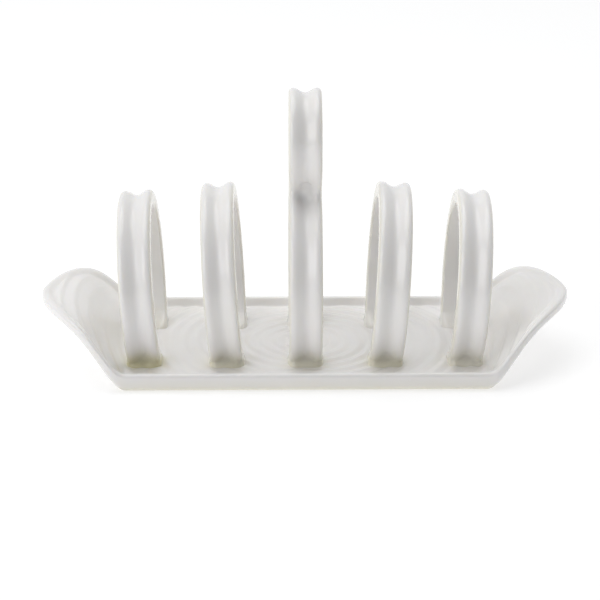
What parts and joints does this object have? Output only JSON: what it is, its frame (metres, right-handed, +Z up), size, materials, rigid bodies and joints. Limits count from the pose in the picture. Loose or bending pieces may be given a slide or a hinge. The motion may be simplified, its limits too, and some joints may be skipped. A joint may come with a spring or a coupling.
{
  "type": "toast rack",
  "caption": "Glazed porcelain toast rack: a rippled tray with upswept end lobes, grooved ring dividers standing across it and a taller middle loop with a finger ring.",
  "frame": {"origin": "middle of the flat foot, on the surface the rack stands on", "axes": "+Z up, +X along the row of dividers from left lobe to right lobe, Y across the tray"},
  "size_m": [0.23, 0.099, 0.1184],
  "materials": {
    "porcelain": "gloss",
    "pooled_glaze": "gloss"
  },
  "bodies": {
    "root": {"tray": "porcelain", "divider_outer_left": "porcelain", "divider_inner_left": "porcelain", "handle_loop": "porcelain", "divider_inner_right": "porcelain", "divider_outer_right": "porcelain", "slip_outer_left": "pooled_glaze", "slip_inner_left": "pooled_glaze", "slip_centre": "pooled_glaze", "slip_inner_right": "pooled_glaze", "slip_outer_right": "pooled_glaze"}
  },
  "joints": []
}
